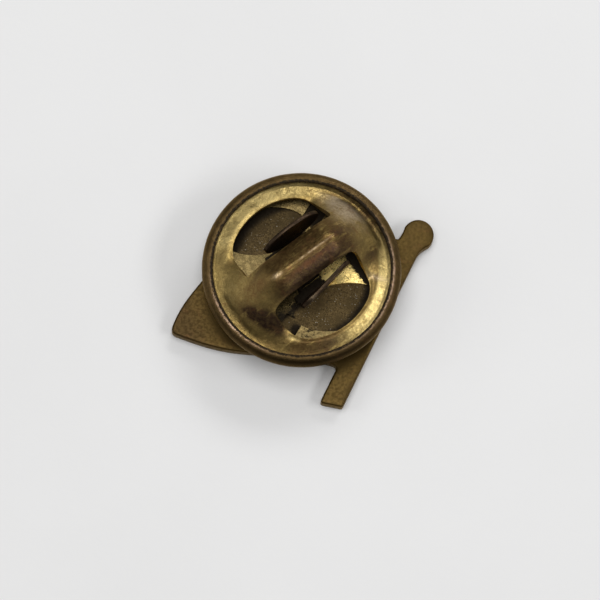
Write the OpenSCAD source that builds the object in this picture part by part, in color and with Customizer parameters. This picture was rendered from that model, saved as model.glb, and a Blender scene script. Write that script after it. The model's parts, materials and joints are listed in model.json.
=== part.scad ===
// Lapel pin in the shape of a flag on a ball-topped pole, held by a round
// butterfly clutch. The struck plate lies face down on z = 0; the post points up
// along +Z through the origin and the clutch rides on it. X runs along the
// flag's long edges. Millimetres.

/* [Plate] */
// Thickness of the struck plate
plate_t = 0.8; // [0.6:0.05:1.2]
// Height of the flag between its lower and upper edges
flag_h = 8.1; // [7.6:0.1:8.4]
// Depth of the ripple in the flag's long edges
ripple = 0.25; // [0:0.05:0.4]
// Depth of the ripple in the flag's free edge
fly_ripple = 0.39; // [0:0.01:0.5]
// Corner radius at the flag's free edge
flag_corner_r = 0.35; // [0.2:0.05:0.6]
// Radius in the corners between flag, pole and ball
fillet_r = 0.25; // [0.1:0.05:0.3]

/* [Pole] */
// Angle of the pole above the X axis
pole_angle = 75.8; // [72:0.2:80]
// Width of the pole
pole_w = 1.3; // [1:0.05:1.6]
// Radius of the ball on top of the pole
ball_r = 0.9; // [0.8:0.05:1.1]
// Corner radius at the pole's foot
foot_corner_r = 0.15; // [0.05:0.05:0.3]

/* [Enamel] */
// Depth of the cells struck into the front
cell_depth = 0.3; // [0.2:0.05:0.4]
// How far the enamel lies below the metal lines
enamel_drop = 0.04; // [0.02:0.01:0.1]
// Width of the metal lines between the colours
line_w = 0.28; // [0.2:0.02:0.4]
// Width of the metal border round the flag
border_w = 0.4; // [0.3:0.05:0.6]

/* [Post] */
// Diameter of the post
post_d = 1.07; // [0.9:0.01:1.2]
// Length of the post from the plate's back to its tip
post_len = 4.2; // [3.8:0.1:4.2]
// Diameter of the flat head that is soldered to the plate
head_d = 3.0; // [2.4:0.1:3.6]
// Thickness of the head
head_t = 0.25; // [0.2:0.05:0.4]

/* [Clutch] */
// Outer diameter over the rolled rim
clutch_d = 11.5; // [11.5:0.1:12.5]
// Gap between the plate's back and the clutch
stand_off = 1.0; // [0.5:0.1:1.2]
// Direction of the bridge above the X axis
bridge_angle = 49; // [0:1:180]
// Rise of the bridge above the cap's ring
bridge_h = 2.45; // [2.2:0.05:2.8]
// Width of the bridge between the two windows
bridge_w = 2.48; // [2.2:0.02:2.8]
// Thickness of the sheet brass
sheet_t = 0.25; // [0.2:0.01:0.25]
// Outer radius of the two windows
window_r = 4.12; // [3.9:0.02:4.2]

/* [Jaws] */
// Length of each finger wing
wing_len = 3.8; // [3.2:0.1:4.2]
// Outward lean of the wings from upright
wing_lean = 10; // [6:1:12]
// Skew of the lower right wing against the bridge
wing_skew = 4.5; // [0:0.5:5]
// Travel of each wing when pinched
pinch = 0.4; // [0.2:0.05:0.4]

/* [Hidden] */
$fn = 96;

// Pole and flag. A u value is a place along X with the pole's lean taken out.
foot = [3.35, -6.56];                 // a point on the pole's axis near its foot
pole_end_y = -7.02;                   // the foot is cut parallel to X here
ball_c = [6.2, 3.95];
lean = 1 / tan(pole_angle);           // sideways run of the pole for each mm up
hoist_u = foot.x - lean * foot.y;     // pole's axis, sheared back to y = 0
pole_u = pole_w / 2 / sin(pole_angle); // half the pole's width along X
fly_u = -5.2;                         // flag's free edge, sheared back to y = 0
trough_u = -2.2;                      // where the lower edge dips lowest
half_wave = 5;                        // half a ripple of the long edges
fly_half_wave = 4.6;                  // half a ripple of the free edge
fly_bulge_y = -3.7;                   // where the free edge stands out furthest
flag_low_y = -4.83;                   // mean height of the lower edge

// Post and solder
post_r = post_d / 2;
groove_depth = 0.12;
groove_low = 1.55;                    // groove's middle below the post's tip
groove_half = 0.2;                    // half the groove's height at the surface
groove_floor = 0.1;                   // half the groove's height at its bottom
point_len = 0.85;
point_r = 0.12;
solder_r = 0.22;

// Rolled rim of the clutch
bead_r = 0.48;
bead_rise = 0.9;                      // middle of the rolled rim above the clutch's base
bead_c = clutch_d / 2 - bead_r;       // radius of the rolled rim's middle

// Heights
base_z = plate_t + stand_off;
floor_z = base_z + sheet_t;
bead_z = base_z + bead_rise;
flange_z = bead_z + 0.18;             // top of the cap's flat edge, under the curl
ring_z = flange_z + 0.32;             // top of the cap's ring beside the windows
spring_t = 0.2;
leaf_t = 0.2;
slide_gap = 0.06;                     // clearance between the sliding sheets
left_leaf_z = floor_z + spring_t + slide_gap;
right_leaf_z = left_leaf_z + leaf_t + slide_gap;
wing_top_z = ring_z + 2.05;

function wave(t) = t * t * (3 - 2 * t);
function ease(x, lo, hi) = wave(min(1, max(0, (x - lo) / (hi - lo))));
function arc(c, r, a0, a1, n) =
    [for (i = [0:n]) c + r * [cos(a0 + (a1 - a0) * i / n), sin(a0 + (a1 - a0) * i / n)]];
function mid(a, b, t) = a + (b - a) * t;

// Point of the flag: s runs from the free edge (0) to the pole (1), t upward
function edge_y(u) = flag_low_y - ripple * cos(180 * (u - trough_u) / half_wave);
function edge_u(y) = fly_u - fly_ripple * cos(180 * (y - fly_bulge_y) / fly_half_wave);
function flag_y(s, t) = edge_y(mid(fly_u, hoist_u, s)) + flag_h * t;
function flag_pt(s, t) =
    let (y = flag_y(s, t)) [mid(edge_u(y), hoist_u, s) + lean * y, y];

// Closed patch of the flag between two heights and two distances from the edge
function patch(s0, s1, t0, t1, n = 14) = concat(
    [for (i = [0:n]) flag_pt(mid(s0, s1, i / n), t0)],
    [for (i = [1:n]) flag_pt(s1, mid(t0, t1, i / n))],
    [for (i = [1:n]) flag_pt(mid(s1, s0, i / n), t1)],
    [for (i = [1:n - 1]) flag_pt(s0, mid(t1, t0, i / n))]);

// Pole, cut parallel to X at its foot, and the ball on its top
module pole() {
    end_x = hoist_u + lean * pole_end_y;
    top_x = hoist_u + lean * ball_c.y;
    offset(r = foot_corner_r) offset(delta = -foot_corner_r)
        polygon([[end_x - pole_u, pole_end_y], [end_x + pole_u, pole_end_y],
                 [top_x + pole_u, ball_c.y], [top_x - pole_u, ball_c.y]]);
    translate(ball_c) circle(r = ball_r);
}

module plate_outline() {
    offset(r = -fillet_r) offset(delta = fillet_r)
        union() {
            offset(r = flag_corner_r) offset(delta = -flag_corner_r)
                polygon(patch(0, 1, 0, 1));
            pole();
        }
}

// The three colour cells, from the top of the flag down
cell_edge = border_w / flag_h;
cell_line = line_w / flag_h;
cell_h = (1 - 2 * cell_edge - 2 * cell_line) / 3;
cell_s0 = border_w / (hoist_u - fly_u);
cell_s1 = 1 - (pole_u + line_w) / (hoist_u - fly_u);
function cell_t(i) = 1 - cell_edge - i * (cell_h + cell_line) - cell_h;

module cell(i, shrink = 0) {
    ds = shrink / (hoist_u - fly_u);
    dt = shrink / flag_h;
    polygon(patch(cell_s0 + ds, cell_s1 - ds, cell_t(i) + dt, cell_t(i) + cell_h - dt));
}

module flag_plate() {
    color([0.42, 0.33, 0.18])
        difference() {
            linear_extrude(plate_t) plate_outline();
            for (i = [0:2])
                translate([0, 0, -1]) linear_extrude(1 + cell_depth) cell(i);
        }
}

module enamel(i, tint) {
    color(tint)
        translate([0, 0, enamel_drop])
            linear_extrude(cell_depth - enamel_drop) cell(i, 0.005);
}

module enamel_upper() enamel(0, [0.10, 0.42, 0.44]);
module enamel_middle() enamel(1, [0.93, 0.89, 0.78]);
module enamel_lower() enamel(2, [0.48, 0.12, 0.16]);

// Turned post: flat head, shank with a gripping groove, and a blunt point
module post() {
    tip_z = plate_t + post_len;
    head_z = plate_t + head_t;
    groove_z = tip_z - groove_low;
    groove_r = post_r - groove_depth;
    color([0.55, 0.46, 0.27])
        rotate_extrude()
            polygon([[0, plate_t], [head_d / 2, plate_t], [head_d / 2, head_z],
                     [post_r, head_z], [post_r, groove_z - groove_half],
                     [groove_r, groove_z - groove_floor], [groove_r, groove_z + groove_floor],
                     [post_r, groove_z + groove_half], [post_r, tip_z - point_len],
                     [point_r, tip_z], [0, tip_z]]);
}

// Solder drawn up in a concave fillet round the post's head
module solder_fillet() {
    color([0.5, 0.48, 0.42])
        translate([0, 0, plate_t])
            rotate_extrude()
                difference() {
                    translate([head_d / 2, 0]) square(solder_r);
                    translate([head_d / 2 + solder_r, solder_r]) circle(r = solder_r, $fn = 64);
                }
}

// Everything in the clutch is drawn with the bridge along X, then turned
module in_clutch() rotate([0, 0, bridge_angle]) children();

// Cup with a drawn-in hole, whose wall is curled over the cap's edge
hole_r = post_r + 0.085;              // hole for the post, with its clearance
hole_flare = 0.2;                     // the hole widens this much at the bottom
module clutch_base() {
    curl_r = bead_r - sheet_t;
    foot_r = bead_c - 0.45;           // where the flat bottom turns up to the rim
    color([0.40, 0.30, 0.17])
        rotate_extrude($fn = 128)
            union() {
                // flat bottom with a flared hole, and the slope up to the bead
                polygon([[hole_r, floor_z], [hole_r, base_z + sheet_t / 2],
                         [hole_r + hole_flare, base_z], [foot_r, base_z],
                         [bead_c + 0.05, bead_z - bead_r + 0.02],
                         [bead_c - 0.08, bead_z - curl_r - 0.02],
                         [foot_r - 0.05, floor_z]]);
                translate([bead_c, bead_z])
                    difference() {
                        circle(r = bead_r, $fn = 64);
                        circle(r = curl_r, $fn = 64);
                        // open side of the curl, from its lower to its upper lip
                        polygon([[0, 0], [-0.06, 1], [-1, 1], [-1, -1], [-0.12, -1]]);
                    }
            }
}

// Flat spring: one S-shaped strip whose arms curve round two oval openings
opening_c = [-0.37, 3.06];
opening_size = [2.5, 1.37];
opening_turn = -25.5;
arm_w = 0.4;                          // width of the arms outside the openings
arm_r = bead_c - 0.57;                // outer radius of the arms, clear of the cup
gap_w = 1.1;                          // width of the gap that frees an arm's end
gap_corner = [1.75, 2.47];
gap_turn = 21;
module clutch_spring() {
    color([0.70, 0.56, 0.26])
        translate([0, 0, floor_z])
            in_clutch()
                linear_extrude(spring_t)
                    difference() {
                        circle(r = arm_r, $fn = 128);
                        circle(r = hole_r);
                        for (side = [0, 180])
                            rotate(side) {
                                intersection() {
                                    circle(r = arm_r - arm_w, $fn = 128);
                                    translate(opening_c) rotate(opening_turn)
                                        polygon([for (a = [0:7.5:359])
                                            [opening_size.x * cos(a), opening_size.y * sin(a)]]);
                                }
                                translate(gap_corner) rotate(gap_turn)
                                    translate([0, -gap_w]) square([arm_r, gap_w]);
                            }
                    }
}

// Height of the cap's upper face: a domed ring with the bridge rising from it
ramp_top = 1.45;                      // half-length of the bridge's level part
ramp_foot = 5.0;                      // where its end slopes meet the ring
crest_r = 0.28;                       // roundness of the crest
flank = 0.12;                         // fall of the flanks, as a share for each mm
flank_curve = 0.085;
crown_in = 1.6;                       // the crown fades out between these two distances
crown_out = 3.8;
ring_in = 4.25;                       // the ring falls between these two radii
ring_out = 5.02;
function ring_face(r) = mid(flange_z, ring_z, 1 - ease(r, ring_in, ring_out));
function swell(t) = t * t * t * (10 - 15 * t + 6 * t * t);
function crown(y) = (1 - flank * (norm([y, crest_r]) - crest_r) - flank_curve * y * y)
    * (1 - ease(abs(y), crown_in, crown_out));
function ramp(x) =
    1 - swell(min(1, max(0, (abs(x) - ramp_top) / (ramp_foot - ramp_top))));
function bridge_face(x, y) = bridge_h * ramp(x) * crown(y);
function cap_face(x, y) = ring_face(norm([x, y])) + bridge_face(x, y);

// Outline of one window: a D with its flat side along the bridge, whose two
// inner corners have this radius
module window(inner) {
    corner = 0.9;
    side_x = 1.72;
    out = sqrt(pow(window_r - corner, 2) - side_x * side_x);
    half_angle = atan(side_x / out);
    inner_x = 3.03 - inner;
    inner_y = bridge_w / 2 + inner;
    turn = 6;                         // the sides spread a little toward the bridge
    polygon(concat(
        arc([inner_x, inner_y], inner, -90, turn, 6),
        arc([side_x, out], corner, turn, 90 - half_angle, 8),
        arc([0, 0], window_r, 90 - half_angle, 90 + half_angle, 12),
        arc([-side_x, out], corner, 90 + half_angle, 180 - turn, 8),
        arc([-inner_x, inner_y], inner, 180 - turn, 270, 6)));
}

module clutch_cap() {
    rim_r = bead_c + 0.12;
    sectors = 60;
    radii = [0.8, 1.6, 2.3, 2.9, 3.4, 3.9, 4.3, 4.65, ring_out, rim_r];
    n = len(radii);
    spots = [for (r = radii) for (i = [0:sectors - 1])
        [r * cos(360 * i / sectors), r * sin(360 * i / sectors)]];
    upper = concat([[0, 0, cap_face(0, 0)]], [for (p = spots) [p.x, p.y, cap_face(p.x, p.y)]]);
    count = len(upper);
    lower = [for (p = upper) [p.x, p.y, p.z - sheet_t]];
    function at(k, i) = 1 + k * sectors + i % sectors;
    fan = [for (i = [0:sectors - 1]) [0, at(0, i + 1), at(0, i)]];
    mesh = [for (k = [0:n - 2]) for (i = [0:sectors - 1])
        for (f = [[at(k, i), at(k, i + 1), at(k + 1, i)],
                  [at(k, i + 1), at(k + 1, i + 1), at(k + 1, i)]]) f];
    face = concat(fan, mesh);
    under = [for (f = face) [f[2] + count, f[1] + count, f[0] + count]];
    rim = [for (i = [0:sectors - 1])
        for (f = [[at(n - 1, i), at(n - 1, i + 1), at(n - 1, i) + count],
                  [at(n - 1, i + 1), at(n - 1, i + 1) + count, at(n - 1, i) + count]]) f];
    color([0.62, 0.52, 0.28])
        in_clutch()
            difference() {
                polyhedron(concat(upper, lower), concat(face, under, rim));
                linear_extrude(20) {
                    window(0.25);
                    rotate(180) window(0.6);
                }
            }
}

// One jaw: a leaf whose slot grips the post, and the finger wing bent up from
// its heel. The wing's foot has an opening that the other jaw's tongue slides
// through. Before it is turned, the wing stands on the +Y side of the post.
root_y = 1.5;                         // where the wing leaves the leaf
wing_t = 0.26;
foot_w = 2.7;
neck_w = 1.5;
foot_h = 0.75;                        // the wing's foot narrows to the neck here
oval_h = 1.9;
grip = post_r + 0.02;                 // the slot's end nearly touches the post
slot = [post_d + 0.12, 2 * grip + pinch];
tongue_w = 1.7;
tongue_end = -grip - 0.28;
heel = 0.45;                          // length of the wide heel before the wing
left_along = 0.6;                     // each oval sits this far along the bridge
right_along = 0.3;
pass = [tongue_w + 0.2, 0.34];        // opening in the foot for the other tongue
module jaw(leaf_z, skew, along) {
    rise = wing_top_z - leaf_z;
    translate([0, 0, leaf_z])
        linear_extrude(leaf_t)
            difference() {
                union() {
                    translate([-tongue_w / 2, tongue_end])
                        square([tongue_w, root_y - tongue_end]);
                    translate([-foot_w / 2, root_y - heel]) square([foot_w, heel + 0.05]);
                }
                translate([-slot.x / 2, -grip]) square(slot);
            }
    translate([0, root_y, leaf_z])
        rotate([90 - wing_lean, 0, 0])
            rotate([0, skew, 0])
                translate([0, 0, -wing_t / 2])
                    linear_extrude(wing_t)
                        difference() {
                            union() {
                                translate([-foot_w / 2, 0]) square([foot_w, foot_h]);
                                translate([-neck_w / 2, 0]) square([neck_w, rise - oval_h / 2]);
                                translate([along, rise - oval_h / 2])
                                    polygon([for (a = [0:9:359])
                                        [wing_len / 2 * cos(a), oval_h / 2 * sin(a)]]);
                            }
                            translate([-pass.x / 2, leaf_t + 0.01]) square(pass);
                        }
}

module jaw_left() {
    color([0.42, 0.34, 0.22]) in_clutch() jaw(left_leaf_z, 0, left_along);
}

module jaw_right() {
    color([0.45, 0.36, 0.23]) in_clutch() rotate(180) jaw(right_leaf_z, wing_skew, -right_along);
}

flag_plate();
enamel_upper();
enamel_middle();
enamel_lower();
post();
solder_fillet();
clutch_base();
clutch_spring();
clutch_cap();
jaw_left();
jaw_right();
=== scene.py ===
"""Lapel pin: a struck brass flag on a ball-topped pole, with enamel on its front
and a round butterfly clutch on its post.

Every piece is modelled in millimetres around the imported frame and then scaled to
metres. The file is laid out as a Blender add-on and is run as a script.
"""
import json
import math

import bmesh
import bpy
from bpy.props import FloatProperty, FloatVectorProperty, IntProperty, PointerProperty
from mathutils import Matrix, Vector, noise


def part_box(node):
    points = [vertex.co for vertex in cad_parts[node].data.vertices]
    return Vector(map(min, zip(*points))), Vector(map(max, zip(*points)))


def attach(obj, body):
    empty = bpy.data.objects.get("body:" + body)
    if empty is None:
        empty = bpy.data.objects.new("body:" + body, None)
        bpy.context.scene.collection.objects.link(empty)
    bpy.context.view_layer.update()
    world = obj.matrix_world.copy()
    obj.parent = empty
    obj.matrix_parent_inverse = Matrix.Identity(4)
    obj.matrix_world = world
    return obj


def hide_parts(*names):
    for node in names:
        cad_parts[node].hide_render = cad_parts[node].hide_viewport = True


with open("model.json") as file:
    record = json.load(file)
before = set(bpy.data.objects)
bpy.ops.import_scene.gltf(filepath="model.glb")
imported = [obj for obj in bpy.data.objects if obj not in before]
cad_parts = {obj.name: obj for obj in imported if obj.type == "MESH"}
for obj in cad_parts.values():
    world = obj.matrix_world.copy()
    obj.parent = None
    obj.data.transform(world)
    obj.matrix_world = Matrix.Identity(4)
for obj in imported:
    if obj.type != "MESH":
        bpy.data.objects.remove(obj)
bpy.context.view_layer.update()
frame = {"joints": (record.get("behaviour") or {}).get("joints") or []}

bl_info = {
    "name": "Flag Lapel Pin",
    "version": (1, 0, 0),
    "blender": (4, 5, 0),
    "location": "3D View > Sidebar > Lapel Pin",
    "description": "Builds a struck flag pin with enamel bands and a butterfly clutch",
    "category": "Add Mesh",
}

MM = 0.001


def node_box(node):
    """Lowest and highest corner of a CAD node, in millimetres."""
    low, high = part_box(node)
    return Vector(low) / MM, Vector(high) / MM


def joint(name):
    """The frame's record of one joint."""
    return next(j for j in frame["joints"] if j["name"] == name)


# Heights and radii that the frame fixes, in millimetres
PLATE_TOP = node_box("flag_plate")[1].z
BASE_LOW, BASE_HIGH = node_box("clutch_base")
CLUTCH_R = (BASE_HIGH.x - BASE_LOW.x) / 2
FLOOR_Z = node_box("clutch_spring")[0].z
SPRING_TOP = node_box("clutch_spring")[1].z
CAP_LOW, CAP_HIGH = node_box("clutch_cap")
RIM_R = (CAP_HIGH.x - CAP_LOW.x) / 2
POST_TIP = node_box("post")[1].z
BEAD_Z = BASE_LOW.z + 0.9             # middle of the curled rim's section
HOLE_R = 0.62                         # the post's hole in the cup and the spring
LEFT_LEAF_Z = round(node_box("jaw_left")[0].z, 2)
RIGHT_LEAF_Z = round(node_box("jaw_right")[0].z, 2)
WING_TOP = node_box("jaw_left")[1].z
PINCH_AXIS = Vector(joint("left_wing_press")["axis"])
BRIDGE_TURN = math.atan2(PINCH_AXIS.x, -PINCH_AXIS.y)
TO_CLUTCH = Matrix.Rotation(BRIDGE_TURN, 4, "Z")


# ---------------------------------------------------------------- properties

def length(name, text, value):
    """A length property whose default is given in millimetres."""
    return FloatProperty(name=name, description=text, default=value * MM, unit="LENGTH")


def tint(name, text, value):
    """A colour property, as linear red, green and blue."""
    return FloatVectorProperty(name=name, description=text, default=value, size=3,
                               min=0, max=1, subtype="COLOR")


class PlateSizes(bpy.types.PropertyGroup):
    """The struck plate and its enamel"""
    flag_height: length("Flag height", "Between the flag's lower and upper edges", 8.1)
    ripple: length("Ripple", "Depth of the ripple in the flag's long edges", 0.25)
    fly_ripple: length("Fly ripple", "Depth of the ripple in the flag's free edge", 0.39)
    pole_width: length("Pole width", "Width of the pole", 1.3)
    pole_angle: FloatProperty(name="Pole angle", description="Pole's angle above the flag's edges",
                              default=math.radians(75.8), subtype="ANGLE")
    ball_radius: length("Ball radius", "Radius of the ball on the pole", 0.9)
    corner: length("Corner", "Corner radius at the flag's free edge", 0.35)
    fillet: length("Fillet", "Radius between flag, pole and ball", 0.3)
    back_round: length("Back rounding", "Rounding of the sheared back edge", 0.13)
    border: length("Border", "Metal border round the flag", 0.4)
    line: length("Line", "Metal line between two colours", 0.28)
    cell_depth: length("Cell depth", "Depth of the enamel cells", 0.3)
    enamel_drop: length("Enamel drop", "Enamel's depth below the metal lines", 0.04)


class ClutchSizes(bpy.types.PropertyGroup):
    """The clutch's cup and cap"""
    sheet: length("Sheet", "Thickness of the sheet brass", 0.25)
    bead: length("Bead", "Radius of the curled rim", 0.48)
    bridge_height: length("Bridge height", "Rise of the bridge above the ring", 2.45)
    bridge_width: length("Bridge width", "Width of the bridge between the windows", 2.48)
    crest: length("Crest", "Roundness of the bridge's crest", 0.22)
    window_radius: length("Window radius", "Outer radius of the windows", 4.2)
    lip_width: length("Lip width", "Width of the rolled edge round the windows", 0.24)
    lip_drop: length("Lip drop", "How far that edge turns down", 0.09)
    sides: IntProperty(name="Sides", description="Facets round a turned piece", default=192)


class JawSizes(bpy.types.PropertyGroup):
    """The jaws and their wings"""
    wing_length: length("Wing length", "Length of a finger wing", 3.8)
    wing_height: length("Wing height", "Height of the wing's oval", 1.9)
    wing_sheet: length("Wing sheet", "Thickness of the wings", 0.26)
    lean: FloatProperty(name="Lean", description="Outward lean of the wings",
                        default=math.radians(10), subtype="ANGLE")
    skew: FloatProperty(name="Skew", description="Turn and twist of the right jaw's wing",
                        default=math.radians(4.5), subtype="ANGLE")
    root: length("Root", "Distance of the wings' feet from the post's axis", 1.5)


class Finishes(bpy.types.PropertyGroup):
    """Tones of the metals, their tarnish and the enamel, and of the painted light and shade"""
    plate: tint("Plate", "Satin olive-brown brass of the struck plate", (0.088, 0.056, 0.016))
    rim: tint("Rim", "Patina of the curled rim", (0.108, 0.069, 0.027))
    cap: tint("Cap", "Yellow-olive brass of the cap", (0.36, 0.252, 0.084))
    spring: tint("Spring", "Brass of the flat spring", (0.15, 0.11, 0.045))
    floor: tint("Cup floor", "Dull sandy floor of the cup", (0.150, 0.102, 0.042))
    jaw: tint("Jaws", "Grey-brown tarnish of the jaws", (0.056, 0.037, 0.023))
    # Brown patina on the bridge, also laid as painted shade on the ring's south and lower-left
    # sides and past the bridge's north-east foot
    patina: tint("Patina", "Brown patina on the bridge", (0.100, 0.058, 0.021))
    # Grey-brown bloom, lightened to stand in for the light on the bridge's north-east slope:
    # partly painted light
    bloom: tint("Bloom", "Grey-brown bloom at the bridge's end", (0.52, 0.41, 0.27))
    # Clean golden brass, also laid as painted highlights on the ring's lit sides and a window's
    # lip
    gold: tint("Gold", "Clean golden brass", (1.0, 0.77, 0.31))
    # Bright spring brass, partly a painted pool of light on the spring and the jaw's foot
    gilt: tint("Gilt", "Bright golden spring brass", (1.0, 0.76, 0.28))
    umber: tint("Umber", "Olive-brown tarnish of the plate", (0.054, 0.034, 0.013))
    # Purple-brown tarnish, also laid as painted shade on the bridge's south-east flank and the
    # ring's south side
    soot: tint("Soot", "Purple-brown tarnish", (0.066, 0.038, 0.024))
    # Reddish oxide; the same painted number also darkens the cup's rim on its south side as
    # painted shade
    stain: tint("Stain", "Reddish-brown oxide", (0.17, 0.07, 0.032))
    # Painted highlights on crests and edges
    wear: tint("Wear", "Freshly rubbed brass", (0.86, 0.66, 0.42))
    # Painted shade: near black laid in gaps, under the bridge and on the cup's shadowed floor
    grime: tint("Grime", "Dirt in corners and gaps", (0.019, 0.014, 0.009))
    teal: tint("Teal", "Upper band of enamel", (0.02, 0.15, 0.17))
    cream: tint("Cream", "Middle band of enamel", (0.75, 0.66, 0.45))
    maroon: tint("Maroon", "Lower band of enamel", (0.16, 0.012, 0.022))


def settings(context, part):
    """The sizes of one part, and the finishes of all."""
    return getattr(context.scene, "lapelpin_" + part), context.scene.lapelpin_finishes


def mm(value):
    """A length property in millimetres."""
    return value / MM


# ------------------------------------------------------------ curves in plan

def mix(a, b, t):
    return a + (b - a) * t


def ease(x, low, high):
    """Rise smoothly from 0 to 1 as x goes from low to high."""
    t = min(1, max(0, (x - low) / (high - low)))
    return t * t * (3 - 2 * t)


def arc(centre, radius, start, end, count):
    """Points on an arc of a circle; the angles are in degrees."""
    turns = [math.radians(mix(start, end, i / count)) for i in range(count + 1)]
    return [Vector((centre[0] + radius * math.cos(a), centre[1] + radius * math.sin(a)))
            for a in turns]


def walk(path, start, step, distance):
    """Point at a distance along a closed path from one of its corners, and the corners passed."""
    passed = []
    here = path[start]
    i = start
    while True:
        i = (i + step) % len(path)
        gap = (path[i] - here).length
        if gap >= distance:
            return here.lerp(path[i], distance / gap), passed
        distance -= gap
        here = path[i]
        passed.append(i)


def round_corner(path, corner, distance, count=6):
    """The closed path with one corner turned into a curve that starts this far from it."""
    at = path.index(corner)
    before, gone_before = walk(path, at, -1, distance)
    after, gone_after = walk(path, at, 1, distance)
    curve = [before.lerp(corner, i / count).lerp(corner.lerp(after, i / count), i / count)
             for i in range(count + 1)]
    gone = {at, *gone_before, *gone_after}
    path = path[at:] + path[:at]
    gone = {(i - at) % len(path) for i in gone}
    kept = [p for i, p in enumerate(path) if i not in gone]
    return kept + curve


class FlagPlan:
    """The flag, pole and ball in plan. Heights along the flag are sheared with the pole."""
    foot = Vector((3.35, -6.56))      # on the pole's axis
    foot_end = -7.02
    ball = Vector((6.2, 3.95))
    fly = -5.2
    trough = -2.2
    half_wave = 5.0
    fly_half_wave = 4.6
    fly_bulge = -3.7
    low = -4.83
    pole_foot_rounding = (0.24, 0.13)
    neck_rounding = (0.4, 0.55)
    ball_steps = 48

    def __init__(self, sizes):
        self.sizes = sizes
        self.lean = 1 / math.tan(sizes.pole_angle)
        self.hoist = self.foot.x - self.lean * self.foot.y
        self.half_pole = mm(sizes.pole_width) / 2 / math.sin(sizes.pole_angle)
        self.span = self.hoist - self.fly

    def at(self, s, t):
        """s runs from the free edge (0) to the pole's axis (1), t from the lower edge up."""
        along = mix(self.fly, self.hoist, s)
        wave = mm(self.sizes.ripple) * math.cos(math.pi * (along - self.trough) / self.half_wave)
        y = self.low - wave + mm(self.sizes.flag_height) * t
        swell = math.cos(math.pi * (y - self.fly_bulge) / self.fly_half_wave)
        edge = self.fly - mm(self.sizes.fly_ripple) * swell
        return Vector((mix(edge, self.hoist, s) + self.lean * y, y))

    def on_pole(self, side, y):
        return Vector((self.hoist + side * self.half_pole + self.lean * y, y))

    def neck(self, side):
        """Where one side of the pole meets the ball."""
        along = Vector((self.lean, 1)).normalized()
        start = self.on_pole(side, 0) - self.ball
        run = start.dot(along)
        out = start.length_squared - mm(self.sizes.ball_radius) ** 2
        return self.on_pole(side, 0) - along * (run + math.sqrt(run * run - out))

    def outline(self, count=36):
        """The plate's whole outline, clockwise from the left corner of the pole's foot."""
        s_pole = 1 - self.half_pole / self.span
        lower = [self.at(mix(s_pole, 0, i / count), 0) for i in range(count + 1)]
        fly = [self.at(0, i / count) for i in range(1, count)]
        upper = [self.at(mix(0, s_pole, i / count), 1) for i in range(count + 1)]
        lower[0] = self.on_pole(-1, lower[0].y)
        upper[-1] = self.on_pole(-1, upper[-1].y)
        necks = [self.neck(-1), self.neck(1)]
        turns = [math.degrees(math.atan2(p.y - self.ball.y, p.x - self.ball.x)) for p in necks]
        ball = arc(self.ball, mm(self.sizes.ball_radius), turns[0] % 360, turns[1],
                   self.ball_steps)
        feet = [self.on_pole(-1, self.foot_end), self.on_pole(1, self.foot_end)]
        path = [feet[0]] + lower + fly + upper + ball + [feet[1]]
        corner = mm(self.sizes.corner)
        fillet = mm(self.sizes.fillet)
        for p, start in (*zip(feet, self.pole_foot_rounding), (lower[-1], corner * 1.1),
                         (upper[0], corner), (lower[0], fillet), (upper[-1], fillet),
                         *zip((ball[0], ball[-1]), self.neck_rounding)):
            path = round_corner(path, p, start)
        return path

    def cell(self, index, shrink=0.0, count=24):
        """Outline of one colour cell, from the top of the flag down."""
        height = mm(self.sizes.flag_height)
        border = mm(self.sizes.border) / height
        line = mm(self.sizes.line) / height
        cell = (1 - 2 * border - 2 * line) / 3
        low = 1 - border - index * (cell + line) - cell + shrink / height
        high = low + cell - 2 * shrink / height
        left = (mm(self.sizes.border) + shrink) / self.span
        right = 1 - (self.half_pole + mm(self.sizes.line) + shrink) / self.span
        steps = [i / count for i in range(count)]
        return ([self.at(mix(left, right, t), low) for t in steps]
                + [self.at(right, mix(low, high, t)) for t in steps]
                + [self.at(mix(right, left, t), high) for t in steps]
                + [self.at(left, mix(high, low, t)) for t in steps])


# -------------------------------------------------------------- mesh helpers

def loop(bm, points):
    """A closed ring of edges through points in plan or in space."""
    verts = [bm.verts.new(Vector(p).to_3d()) for p in points]
    return [bm.edges.new((a, b)) for a, b in zip(verts, verts[1:] + verts[:1])]


def flat_sheet(bm, outline, holes=()):
    """A flat face, or faces round holes, at z = 0."""
    edges = loop(bm, outline)
    for hole in holes:
        edges += loop(bm, hole)
    bmesh.ops.triangle_fill(bm, use_beauty=True, use_dissolve=False, edges=edges,
                            normal=(0, 0, 1))
    bmesh.ops.recalc_face_normals(bm, faces=bm.faces)
    if bm.faces[:] and bm.faces[:][0].normal.z < 0:
        bmesh.ops.reverse_faces(bm, faces=bm.faces)


def thicken(bm, height):
    """Raise a solid of this height from the flat faces in a bmesh."""
    made = bmesh.ops.extrude_face_region(bm, geom=bm.faces[:])
    raised = [v for v in made["geom"] if isinstance(v, bmesh.types.BMVert)]
    bmesh.ops.translate(bm, vec=(0, 0, height), verts=raised)
    bmesh.ops.recalc_face_normals(bm, faces=bm.faces)


def move(bm, x, y, z):
    """Shift everything in a bmesh."""
    bmesh.ops.translate(bm, vec=(x, y, z), verts=bm.verts)


def turn_by(bm, matrix):
    """Turn or place everything in a bmesh by a matrix."""
    bmesh.ops.transform(bm, matrix=matrix, verts=bm.verts)


def merge_flat(bm):
    """Merge the triangles of a flat sheet into one face."""
    bmesh.ops.dissolve_limit(bm, angle_limit=0.01, verts=bm.verts, edges=bm.edges, delimit=set())


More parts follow.
